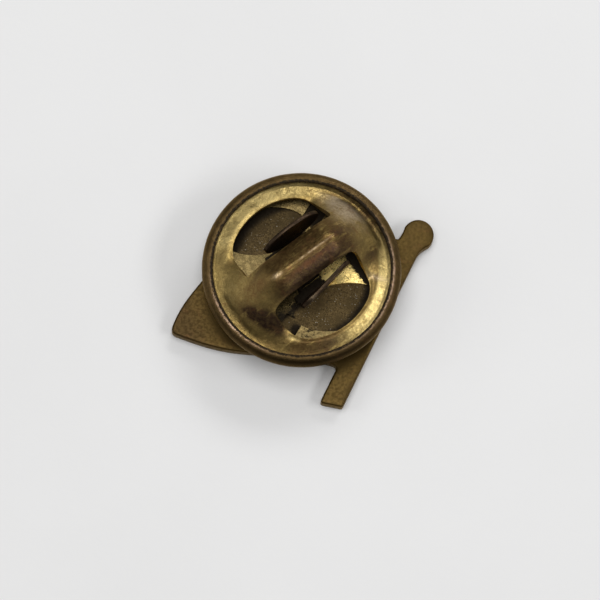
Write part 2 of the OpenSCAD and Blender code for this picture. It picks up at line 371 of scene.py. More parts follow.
def dense(bm, step):
    """Cut flat faces into a fine grid, so that painted numbers can vary across them."""
    low = min(min(v.co.xy) for v in bm.verts)
    high = max(max(v.co.xy) for v in bm.verts)
    for axis in (Vector((1, 0, 0)), Vector((0, 1, 0))):
        for i in range(1, int((high - low) / step)):
            bmesh.ops.bisect_plane(bm, geom=bm.verts[:] + bm.edges[:] + bm.faces[:],
                                   plane_co=axis * (low + i * step), plane_no=axis, dist=1e-4)


def sharp_edges(bm, angle, keep=lambda edge: True):
    """Edges bent by more than this angle, in degrees."""
    return [e for e in bm.edges
            if e.is_manifold and e.calc_face_angle(0) > math.radians(angle) and keep(e)]


def round_edges(bm, edges, width, segments=3):
    """Bevel edges to a round of this width."""
    bmesh.ops.bevel(bm, geom=edges, offset=width, offset_type="OFFSET", affect="EDGES",
                    segments=segments, profile=0.5, material=-1, clamp_overlap=True)


def turned(profile, sides):
    """A solid of revolution about Z from a closed profile of (radius, height)."""
    bm = bmesh.new()
    edges = loop(bm, [(r, 0, z) for r, z in profile])
    bmesh.ops.spin(bm, geom=edges, cent=(0, 0, 0), axis=(0, 0, 1), angle=2 * math.pi,
                   steps=sides, use_merge=True, use_duplicate=False)
    bmesh.ops.remove_doubles(bm, verts=bm.verts, dist=1e-4)
    slivers = [f for f in bm.faces if f.calc_area() < 1e-9]
    bmesh.ops.delete(bm, geom=slivers, context="FACES")
    return bm


def reach(v):
    """A point's distance from the clutch's axis."""
    return v.co.xy.length


def spot(v, x, y, wide, high, turn=0.0):
    """A soft oval patch: 1 at its middle, falling off over its half-width and half-height."""
    c, s = math.cos(math.radians(turn)), math.sin(math.radians(turn))
    along = (v.co.x - x) * c + (v.co.y - y) * s
    across = (v.co.y - y) * c - (v.co.x - x) * s
    return math.exp(-(along / wide) ** 2 - (across / high) ** 2)


def patches(v, *ovals):
    """Soft oval patches, each given as its strength and then its place as for spot."""
    return sum(strength * spot(v, *place) for strength, *place in ovals)


def facing(v, turn, spread):
    """1 toward one direction round the clutch, falling off over the spread, in degrees."""
    here = math.degrees(math.atan2(v.co.y, v.co.x))
    return math.exp(-(((here - turn + 180) % 360 - 180) / spread) ** 2)


def paint(bm, name, value):
    """Store a number for each point, worked out from its place, for the materials."""
    layer = bm.verts.layers.float.get(name) or bm.verts.layers.float.new(name)
    for v in bm.verts:
        v[layer] = value(v)


def finish(bm, name, body, material, nodes, crease=40, flat=False):
    """Make the bmesh a finished piece in metres that rides on its body.

    A flat piece has its large flat faces shaded flat and their rounded edges smooth.
    """
    if not bm.faces:
        raise RuntimeError(name + " has no faces")
    bmesh.ops.remove_doubles(bm, verts=bm.verts, dist=2e-4)
    bmesh.ops.recalc_face_normals(bm, faces=bm.faces)
    for edge in bm.edges:
        edge.smooth = not edge.is_manifold or edge.calc_face_angle(0) < math.radians(crease)
    bmesh.ops.scale(bm, vec=(MM, MM, MM), verts=bm.verts)
    mesh = bpy.data.meshes.new(name)
    bm.to_mesh(mesh)
    bm.free()
    for face in mesh.polygons:
        face.use_smooth = True
    mesh.materials.append(material)
    obj = bpy.data.objects.new(name, mesh)
    bpy.context.scene.collection.objects.link(obj)
    if flat:
        shading = obj.modifiers.new("flat faces", "WEIGHTED_NORMAL")
        shading.keep_sharp = True
        shading.weight = 80
    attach(obj, body)
    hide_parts(*nodes)


def add(bm, part):
    """Put another bmesh's faces into this one."""
    mesh = bpy.data.meshes.new("part")
    part.to_mesh(mesh)
    part.free()
    bm.from_mesh(mesh)
    bpy.data.meshes.remove(mesh)


def cut(bm, cutter):
    """The first solid less the second, by an exact boolean."""
    objects = []
    for source in (bm, cutter):
        mesh = bpy.data.meshes.new("cutting")
        source.to_mesh(mesh)
        source.free()
        obj = bpy.data.objects.new("cutting", mesh)
        bpy.context.scene.collection.objects.link(obj)
        objects.append(obj)
    modifier = objects[0].modifiers.new("cut", "BOOLEAN")
    modifier.operation = "DIFFERENCE"
    modifier.solver = "EXACT"
    modifier.object = objects[1]
    graph = bpy.context.evaluated_depsgraph_get()
    result = bpy.data.meshes.new_from_object(objects[0].evaluated_get(graph))
    out = bmesh.new()
    out.from_mesh(result)
    for obj in objects:
        mesh = obj.data
        bpy.data.objects.remove(obj)
        bpy.data.meshes.remove(mesh)
    bpy.data.meshes.remove(result)
    return out


# ----------------------------------------------------------------- materials

class Recipe:
    """A material's nodes, added one step at a time. Patterns are in object millimetres."""

    def __init__(self, name, shader):
        self.material = bpy.data.materials.new(name)
        self.material.use_nodes = True
        self.tree = self.material.node_tree
        self.shader = self.tree.nodes["Principled BSDF"]
        for socket, value in shader.items():
            self.shader.inputs[socket].default_value = value
        place = self.tree.nodes.new("ShaderNodeTexCoord")
        self.place = self.step("ShaderNodeMapping", Vector=place.outputs["Object"],
                               Scale=(1 / MM,) * 3)

    def step(self, kind, output=0, settings=(), **inputs):
        """Add a node; an input is given by its name, or as i and its number."""
        node = self.tree.nodes.new(kind)
        for key, value in dict(settings).items():
            setattr(node, key, value)
        for key, value in inputs.items():
            numbered = key[0] == "i" and key[1:].isdigit()
            socket = node.inputs[int(key[1:]) if numbered else key.replace("_", " ")]
            if isinstance(value, bpy.types.NodeSocket):
                self.tree.links.new(value, socket)
            else:
                socket.default_value = value
        return node.outputs[output]

    def noise(self, scale, detail=4.0, rough=0.55, distortion=0.0, stretch=None, turn=0.0):
        place = self.place
        if stretch:
            place = self.step("ShaderNodeMapping", Vector=place, Rotation=(0, 0, turn))
            place = self.step("ShaderNodeMapping", Vector=place, Scale=stretch)
        return self.step("ShaderNodeTexNoise", Vector=place, Scale=scale, Detail=detail,
                         Roughness=rough, Distortion=distortion)

    def cells(self, scale, output="Distance"):
        return self.step("ShaderNodeTexVoronoi", output, Vector=self.place, Scale=scale)

    def ramp(self, value, low, high, start=0.0, end=1.0):
        """Rise smoothly from start to end as the value goes from low to high."""
        return self.step("ShaderNodeMapRange", settings={"interpolation_type": "SMOOTHSTEP"},
                         Value=value, From_Min=low, From_Max=high, To_Min=start, To_Max=end)

    def math(self, operation, a, b=0.0):
        return self.step("ShaderNodeMath", settings={"operation": operation}, i0=a, i1=b)

    def times(self, a, b):
        return self.math("MULTIPLY", a, b)

    def plus(self, a, b):
        return self.math("ADD", a, b)

    def minus(self, a, b):
        return self.math("SUBTRACT", a, b)

    def blend(self, amount, below, above):
        """Lay one colour over another."""
        def colour(c):
            return c if isinstance(c, bpy.types.NodeSocket) else (*c[:3], 1)
        return self.step("ShaderNodeMix", 2, {"data_type": "RGBA"}, i0=amount,
                         i6=colour(below), i7=colour(above))

    def darker(self, colour, amount):
        """The same colour, a little darker."""
        return self.step("ShaderNodeHueSaturation", Color=colour, Value=amount)

    def mask(self, name):
        """A number painted on the piece's points."""
        return self.step("ShaderNodeAttribute", "Fac", {"attribute_name": name})

    def shade_amount(self, fine):
        """Where painted shade lies, with an edge broken up by a fine pattern."""
        broken = self.times(self.minus(fine, 0.5), 0.5)
        return self.ramp(self.plus(self.mask("grime"), broken), 0.35, 0.75)

    def bump(self, height, depth, normal=None):
        """Raise the surface by up to this depth, in millimetres."""
        inputs = {"Height": height, "Distance": depth * MM, "Strength": 1.0}
        if normal:
            inputs["Normal"] = normal
        return self.step("ShaderNodeBump", **inputs)

    def done(self, colour, roughness, normal, metallic=None):
        """Plug the patterns into the shader."""
        links = self.tree.links
        links.new(colour, self.shader.inputs["Base Color"])
        links.new(roughness, self.shader.inputs["Roughness"])
        links.new(normal, self.shader.inputs["Normal"])
        if metallic:
            links.new(metallic, self.shader.inputs["Metallic"])
        return self.material


def shade(colour, factor):
    """A colour made darker or lighter by a factor."""
    return tuple(min(1.0, c * factor) for c in colour[:3])


# Old brass hardly shines white: its tarnish is warm and dull
BRASS_SHADER = {"Specular IOR Level": 0.15, "Specular Tint": (1.0, 0.84, 0.62, 1)}


def old_brass(name, tone, finishes, rough, mottle, speck, stain, grain, pitted=0.63, painted=()):
    """Tarnished brass: cloudy tone, reddish oxide, dark specks, and painted highlights and shade.
    """
    r = Recipe(name, BRASS_SHADER)
    cloud = r.ramp(r.noise(0.9, 6, 0.62, 0.4), 0.36, 0.66)
    fine = r.ramp(r.noise(6.0, 5, 0.65), 0.38, 0.66)
    colour = r.blend(cloud, shade(tone, 1 - mottle * 0.45), shade(tone, 1 + mottle * 0.35))
    breakup = r.ramp(r.noise(2.4, 6, 0.68, 0.3), 0.25, 0.55)
    streaks = r.noise(1.6, 6, 0.66, 0.2, stretch=(0.45, 2.2, 1), turn=-BRIDGE_TURN)
    streaks = r.ramp(streaks, 0.30, 0.52)
    # Painted coats: patina and soot are partly painted shade, bloom and gold partly painted light
    # and highlights, umber is the plate's tarnish
    for coat, edge in (("patina", streaks), ("bloom", breakup), ("gold", breakup),
                       ("soot", streaks), ("umber", 1.0)):
        if coat in painted:
            colour = r.blend(r.times(r.mask(coat), edge), colour, getattr(finishes, coat))
    colour = r.blend(r.times(fine, 0.45 * mottle), colour, shade(tone, 0.5))
    grit = r.ramp(r.noise(13.0, 3, 0.7), 0.3, 0.7)
    colour = r.blend(grit, r.darker(colour, 1 - 0.3 * mottle), colour)
    # The bright spring brass, partly a painted pool of light
    if "gilt" in painted:
        colour = r.blend(r.mask("gilt"), colour, finishes.gilt)
    oxide = r.ramp(r.noise(1.7, 5, 0.6, 0.8), 0.54, 0.72, 0, stain)
    stained = r.times(r.mask("stain"), r.ramp(r.noise(3.0, 5, 0.7), 0.3, 0.6))
    oxide = r.math("MAXIMUM", oxide, stained)
    colour = r.blend(oxide, colour, finishes.stain)
    specks = r.ramp(r.noise(15.0, 3, 0.6), pitted, pitted + 0.08, 0, speck)
    if "gilt" in painted:
        specks = r.times(specks, r.ramp(r.mask("gilt"), 0, 0.6, 0.2, 1))
    colour = r.blend(specks, colour, shade(tone, 0.25))
    # Painted highlights on crests and edges
    highlighted = r.times(r.mask("wear"), r.ramp(r.noise(4.0, 6, 0.7), 0.3, 0.62))
    colour = r.blend(highlighted, colour, finishes.wear)
    # Painted shade, near black, where shade falls
    shade_amount = r.times(r.shade_amount(fine), r.ramp(r.mask("grime"), 0.02, 0.15))
    colour = r.blend(shade_amount, colour, finishes.grime)
    roughness = r.plus(r.ramp(fine, 0, 1, rough - 0.06, rough + 0.1), r.times(oxide, 0.16))
    roughness = r.minus(roughness, r.times(highlighted, 0.12))
    roughness = r.plus(roughness, r.times(shade_amount, 0.3))
    metallic = r.minus(r.ramp(cloud, 0, 1, 0.84, 0.98), r.times(shade_amount, 0.7))
    if "gilt" in painted:
        bright = r.math("MINIMUM", r.mask("gilt"), 1.0)
        metallic = r.minus(metallic, r.times(bright, 0.25))
    normal = r.bump(r.noise(9.0, 6, 0.7), grain)
    normal = r.bump(r.noise(1.2, 3, 0.5), grain * 5, normal)
    return r.done(colour, roughness, normal, metallic)


def gritty_floor(finishes):
    """The cup: patina outside with painted shade and highlights on its rim, and a dull sandy floor
    inside with painted shade and a few painted glints on bright grains.
    """
    r = Recipe("cup brass", BRASS_SHADER)
    sand = r.ramp(r.noise(13.0, 5, 0.8), 0.38, 0.62)
    colour = r.blend(sand, shade(finishes.floor, 0.3), shade(finishes.floor, 1.4))
    colour = r.blend(r.ramp(r.noise(1.1, 4, 0.6), 0.4, 0.7), colour, shade(finishes.floor, 0.6))
    grain = r.cells(12.0, "Color")
    # Painted glints: a few grains painted near white
    bright = r.ramp(r.step("ShaderNodeSeparateColor", 0, Color=grain), 0.84, 1.0)
    glint = r.times(bright, r.ramp(r.cells(12.0), 0.36, 0.12))
    colour = r.blend(glint, colour, (0.72, 0.66, 0.54))
    inside = r.mask("inside")
    cloud = r.ramp(r.noise(1.3, 6, 0.62, 0.3), 0.38, 0.66)
    fine = r.ramp(r.noise(7.0, 5, 0.65), 0.38, 0.66)
    shell = r.blend(cloud, shade(finishes.rim, 0.72), shade(finishes.rim, 1.2))
    shell = r.blend(r.times(fine, 0.4), shell, shade(finishes.rim, 0.6))
    # Painted shade on the rim's south side
    shell = r.blend(r.mask("stain"), shell, shade(finishes.rim, 0.32))
    oxide = r.ramp(r.noise(1.6, 5, 0.7, 0.5), 0.52, 0.7, 0, 0.12)
    shell = r.blend(oxide, shell, finishes.stain)
    # Painted highlights on the rim's crest
    highlighted = r.times(r.mask("wear"), r.ramp(r.noise(3.0, 6, 0.75), 0.36, 0.6))
    shell = r.blend(highlighted, shell, (0.62, 0.42, 0.30))
    # Painted shade in the gap at the rim
    shade_amount = r.shade_amount(fine)
    shell = r.blend(shade_amount, shell, finishes.grime)
    # Painted shade on the cup's shadowed floor
    colour = r.blend(r.ramp(r.mask("grime"), 0.15, 0.7), colour, finishes.grime)
    colour = r.blend(inside, shell, colour)
    roughness = r.ramp(fine, 0, 1, 0.3, 0.44)
    roughness = r.plus(roughness, r.times(inside, 0.25))
    roughness = r.plus(roughness, r.times(shade_amount, 0.25))
    dull = r.math("MAXIMUM", r.times(inside, 0.7), r.times(shade_amount, 0.7))
    metallic = r.minus(0.95, dull)
    normal = r.bump(r.noise(14.0, 5, 0.8), 0.02)
    return r.done(colour, roughness, normal, metallic)


def enamel_glass(name, tone):
    """Glassy enamel: faint clouding, pinholes and an even gloss."""
    r = Recipe(name, {"Metallic": 0.0})
    cloud = r.ramp(r.noise(0.7, 5, 0.6, 0.3), 0.3, 0.7)
    colour = r.blend(cloud, shade(tone, 0.86), shade(tone, 1.12))
    pits = r.ramp(r.cells(2.6), 0.07, 0.03)
    colour = r.blend(r.times(pits, 0.6), colour, shade(tone, 0.3))
    roughness = r.ramp(r.noise(3.0, 5, 0.6), 0.35, 0.7, 0.09, 0.14)
    normal = r.bump(r.noise(0.8, 2, 0.4), 0.008)
    normal = r.bump(r.minus(1.0, pits), 0.02, normal)
    return r.done(colour, roughness, normal)


def dull_solder():
    """Grey cloudy solder."""
    r = Recipe("solder", {"Metallic": 1.0})
    cloud = r.ramp(r.noise(2.0, 5, 0.6), 0.35, 0.65)
    colour = r.blend(cloud, (0.22, 0.21, 0.18), (0.42, 0.40, 0.35))
    roughness = r.ramp(r.noise(6.0, 4, 0.6), 0.3, 0.7, 0.4, 0.6)
    return r.done(colour, roughness, r.bump(r.noise(5.0, 5, 0.7), 0.02))


# ------------------------------------------------------------ cap in section

class CapForm:
    """Height of the cap's upper face, with the bridge along X, and the windows' outline."""
    ramp_top = 1.45
    ramp_foot = 4.72
    crown_start = 1.6
    crown_end = 3.8
    crown_slope = 0.12
    crown_curve = 0.085
    foot_curve = 0.05
    dome = 0.32
    window_y = 2.6
    side_spread = 0.12

    def __init__(self, sizes):
        self.sizes = sizes
        self.flange = BEAD_Z + 0.18
        self.half_bridge = mm(sizes.bridge_width) / 2

    def ring(self, r):
        """Height of the domed ring."""
        return self.flange + self.dome * (1 - ease(r, 4.1, 5.25))

    def bridge(self, x, y):
        """How far the bridge rises above the ring."""
        crest = mm(self.sizes.crest)
        crown = 1 - self.crown_slope * (math.hypot(y, crest) - crest) - self.crown_curve * y * y
        crown *= 1 - ease(abs(y), self.crown_start, self.crown_end)
        foot = self.ramp_foot - self.foot_curve * y * y
        t = min(1, max(0, (abs(x) - self.ramp_top) / (foot - self.ramp_top)))
        firm = 0.6 * (1 - ease(abs(y), 1.0, 2.4))
        ramp = mix(1 - t ** 3 * (10 - 15 * t + 6 * t * t), math.cos(math.pi / 2 * t), firm)
        return mm(self.sizes.bridge_height) * max(0, crown) * ramp

    def window_reach(self, turn, upper):
        """Distance from the window's middle to its edge in a direction, with soft corners."""
        corner = 24 if upper else 9
        radius = mm(self.sizes.window_radius)
        c, s = math.cos(turn), math.sin(turn)
        outer = -self.window_y * s + math.sqrt(radius ** 2 - (self.window_y * c) ** 2)
        side = 3.12 if upper else 3.02 + 0.1 * c
        side -= self.side_spread * (self.window_y - self.half_bridge)
        side /= max(1e-3, abs(c) + self.side_spread * s)
        out = (outer ** -9 + side ** -9) ** (-1 / 9)
        if s < 0:
            strap = (self.window_y - self.half_bridge + (0 if upper else 0.1)) / -s
            out = (out ** -corner + strap ** -corner) ** (-1 / corner)
        return out

    def lip(self, x, y):
        """How far the rolled edge of a window pulls the face down here."""
        upper = y > 0
        if not upper:
            x, y = -x, -y
        turn = math.atan2(y - self.window_y, x)
        gap = math.hypot(x, y - self.window_y) - self.window_reach(turn, upper)
        fade = math.exp(-(max(0, gap) / mm(self.sizes.lip_width)) ** 2 * 2)
        return mm(self.sizes.lip_drop) * fade * (0.35 if upper else 1)

    def face(self, x, y):
        """Height of the finished upper face."""
        return self.ring(math.hypot(x, y)) + self.bridge(x, y) - self.lip(x, y)


# ----------------------------------------------------------------- operators

class LAPELPIN_OT_flag_plate(bpy.types.Operator):
    """Struck brass plate: flag, pole and ball, with three cells on its front"""
    bl_idname = "lapelpin.flag_plate"
    bl_label = "Flag plate"
    front_round = 0.07

    def execute(self, context):
        sizes, finishes = settings(context, "plate")
        plan = FlagPlan(sizes)
        bm = bmesh.new()
        flat_sheet(bm, plan.outline())
        merge_flat(bm)
        thicken(bm, PLATE_TOP)
        back = sharp_edges(bm, 60, lambda e: all(v.co.z > PLATE_TOP / 2 for v in e.verts))
        round_edges(bm, back, mm(sizes.back_round), 4)
        front = sharp_edges(bm, 60, lambda e: all(v.co.z < PLATE_TOP / 2 for v in e.verts))
        round_edges(bm, front, self.front_round)
        for index in range(3):
            cell = bmesh.new()
            flat_sheet(cell, plan.cell(index))
            thicken(cell, 1 + mm(sizes.cell_depth))
            move(cell, 0, 0, -1)
            bm = cut(bm, cell)
        dense(bm, 0.4)
        paint(bm, "umber", lambda v: (0.95 - 0.6 * ease(v.co.x, -1.0, 3.5))
              * (0.5 + 0.5 * ease(reach(v), 6.0, 7.2)))
        material = old_brass("plate brass", finishes.plate, finishes, rough=0.42, mottle=0.12,
                             speck=0.1, stain=0.15, grain=0.002, painted=("umber",))
        finish(bm, "struck_flag_plate", "pin", material, ["flag_plate"], flat=True)
        return {"FINISHED"}


class LAPELPIN_OT_enamel(bpy.types.Operator):
    """Three enamel fills, each a little hollow between its metal lines"""
    bl_idname = "lapelpin.enamel"
    bl_label = "Enamel"
    bands = (("upper", "teal"), ("middle", "cream"), ("lower", "maroon"))
    # How far in from the cell's wall, and how far the glass has sunk there
    hollow = ((0.005, 0), (0.05, 0.02), (0.16, 0.032), (0.36, 0.036), (0.7, 0.038))

    def execute(self, context):
        sizes, finishes = settings(context, "plate")
        plan = FlagPlan(sizes)
        front = mm(sizes.enamel_drop)
        rings = [(self.hollow[0][0], mm(sizes.cell_depth))]
        rings += [(inward, front + sunk) for inward, sunk in self.hollow]
        for index, (band, colour) in enumerate(self.bands):
            bm = bmesh.new()
            loops = [loop(bm, [(p.x, p.y, height) for p in plan.cell(index, inward)])
                     for inward, height in rings]
            for outer, inner in zip(loops, loops[1:]):
                bmesh.ops.bridge_loops(bm, edges=outer + inner)
            bmesh.ops.holes_fill(bm, edges=loops[0] + loops[-1], sides=0)
            material = enamel_glass(colour + " enamel", getattr(finishes, colour))
            node = "enamel_" + band
            finish(bm, node + "_fill", "pin", material, [node], 60)
        return {"FINISHED"}


class LAPELPIN_OT_post(bpy.types.Operator):
    """Turned post with a flat head, and the solder round it"""
    bl_idname = "lapelpin.post"
    bl_label = "Post and solder"
    shank_r = 0.535
    head_thick = 0.25
    groove_below_tip = 1.55
    neck_r = 0.415                    # at the bottom of the groove
    brass = (0.50, 0.38, 0.19)
    sides = 64

    def shank(self, head_r):
        """Half section of the post, from the middle of its head up to its tip."""
        head_z = PLATE_TOP + self.head_thick
        r = self.shank_r
        groove = POST_TIP - self.groove_below_tip
        return [(0, PLATE_TOP), (head_r, PLATE_TOP), (head_r, head_z - 0.06),
                (head_r - 0.06, head_z), (r + 0.08, head_z), (r + 0.02, head_z + 0.02),
                (r, head_z + 0.08), (r, groove - 0.2), (r - 0.04, groove - 0.17),
                (self.neck_r, groove - 0.1), (self.neck_r, groove + 0.1),
                (r - 0.04, groove + 0.17), (r, groove + 0.2), (r, POST_TIP - 0.85),
                (r - 0.06, POST_TIP - 0.7), (0.16, POST_TIP - 0.06), (0.09, POST_TIP),
                (0, POST_TIP)]

    def execute(self, context):
        finishes = context.scene.lapelpin_finishes
        low, high = node_box("post")
        head_r = (high.x - low.x) / 2     # the head is the post's widest part
        bm = turned(self.shank(head_r), self.sides)
        material = old_brass("post brass", self.brass, finishes, rough=0.34, mottle=0.3,
                             speck=0.3, stain=0.2, grain=0.004)
        finish(bm, "turned_post", "pin", material, ["post"], 50)
        size = node_box("solder_fillet")[1].x - head_r
        outer = arc((head_r + size, PLATE_TOP + size), size, 270, 180, 8)
        bm = turned([(head_r, PLATE_TOP)] + [tuple(p) for p in outer], self.sides)
        finish(bm, "solder_ring", "pin", dull_solder(), ["solder_fillet"], 50)
        return {"FINISHED"}


class LAPELPIN_OT_clutch_base(bpy.types.Operator):
    """Cup whose wall is curled over the cap's edge, with the post's hole in its floor"""
    bl_idname = "lapelpin.clutch_base"
    bl_label = "Clutch base"
    lip_r = 0.115
    floor_rings = 18

    def section(self, bead, sheet, centre):
        """Half section of the cup: under the floor, round the rim and back over the floor."""
        foot = centre.x - 0.45
        outside = arc(centre, bead, -97, 94, 40)
        lip = arc((centre.x - 0.035, centre.y + bead - self.lip_r), self.lip_r, 94, 235, 8)
        inside = arc(centre, bead - sheet, 98, -110, 28)
        floor = [(mix(foot - 0.05, HOLE_R + 0.06, i / self.floor_rings), FLOOR_Z)
                 for i in range(self.floor_rings + 1)]
        return ([(HOLE_R, BASE_LOW.z + 0.12), (HOLE_R + 0.05, BASE_LOW.z + 0.05),
                 (HOLE_R + 0.2, BASE_LOW.z), (foot - 0.1, BASE_LOW.z),
                 (foot + 0.05, BASE_LOW.z + 0.03)]
                + [tuple(p) for p in outside + lip + inside] + floor
                + [(HOLE_R, FLOOR_Z - 0.04)])

    def wobble(self, bm, start):
        """Make the rim very slightly uneven beyond a radius, always inward."""
        for v in bm.verts:
            radius = math.hypot(v.co.x, v.co.y)
            if radius > start:
                around = Vector((v.co.x, v.co.y, 0)) / radius
                push = 0.014 * noise.noise(around * 2.3) + 0.006 * noise.noise(around * 9)
                v.co -= around * max(0, push + 0.008)

    def tarnish(self, bm, centre):
        """Paint the sandy floor, painted shade in the gap and on the floor, and painted highlights
        and shade on the rim.
        """
        # Painted shade: the gap under the cap's edge and the shadowed parts of the cup floor
        def gap(v):
            lip = (ease(centre.x - 0.12 - reach(v), 0, 0.06)
                   * ease(v.co.z, centre.y, centre.y + 0.1))
            return max(lip, spot(v, 2.8, 2.1, 0.8, 0.9), spot(v, -2.3, -2.6, 0.4, 0.5),
                       0.9 * (1 - ease(abs(v.co.y), 1.3, 2.0)), 0.3 * ease(v.co.y, 0, 1),
                       0.6 * spot(v, -1.9, 3.5, 0.8, 0.5), 0.8 * ease(reach(v), 3.3, 4.2))

        # Painted highlights on the rim's crest, on the sides that face the lamps
        def crest(v):
            p = Vector((reach(v), v.co.z)) - centre
            turn = math.degrees(math.atan2(p.y, p.x))
            lit = max(facing(v, 180, 22), 0.8 * facing(v, -50, 32))
            return 0.75 * lit * math.exp(-((turn - 86) / 7) ** 2)

        paint(bm, "inside", lambda v: ease(FLOOR_Z + 0.3 - v.co.z, 0, 0.1)
              * ease(v.co.z, FLOOR_Z - 0.05, FLOOR_Z - 0.02)
              * (1 - ease(reach(v), 5.1, 5.2)))
        # Painted shade in the gap and on the floor
        paint(bm, "grime", lambda v: gap(v) * (1 - ease(reach(v), 5.25, 5.3))
              * ease(v.co.z, FLOOR_Z - 0.06, FLOOR_Z - 0.03))
        # Painted highlights on the rim's crest
        paint(bm, "wear", crest)
        # Painted shade on the rim's south side
        paint(bm, "stain", lambda v: facing(v, -116, 62) * ease(reach(v), 5.2, 5.45))

    def execute(self, context):
        sizes, finishes = settings(context, "clutch")
        bead = mm(sizes.bead)
        centre = Vector((CLUTCH_R - bead, BEAD_Z))
        bm = turned(self.section(bead, mm(sizes.sheet), centre), sizes.sides)
        self.wobble(bm, centre.x - 0.35)
        self.tarnish(bm, centre)
        turn_by(bm, TO_CLUTCH)
        finish(bm, "curled_cup", "clutch", gritty_floor(finishes), ["clutch_base"], 55)
        return {"FINISHED"}


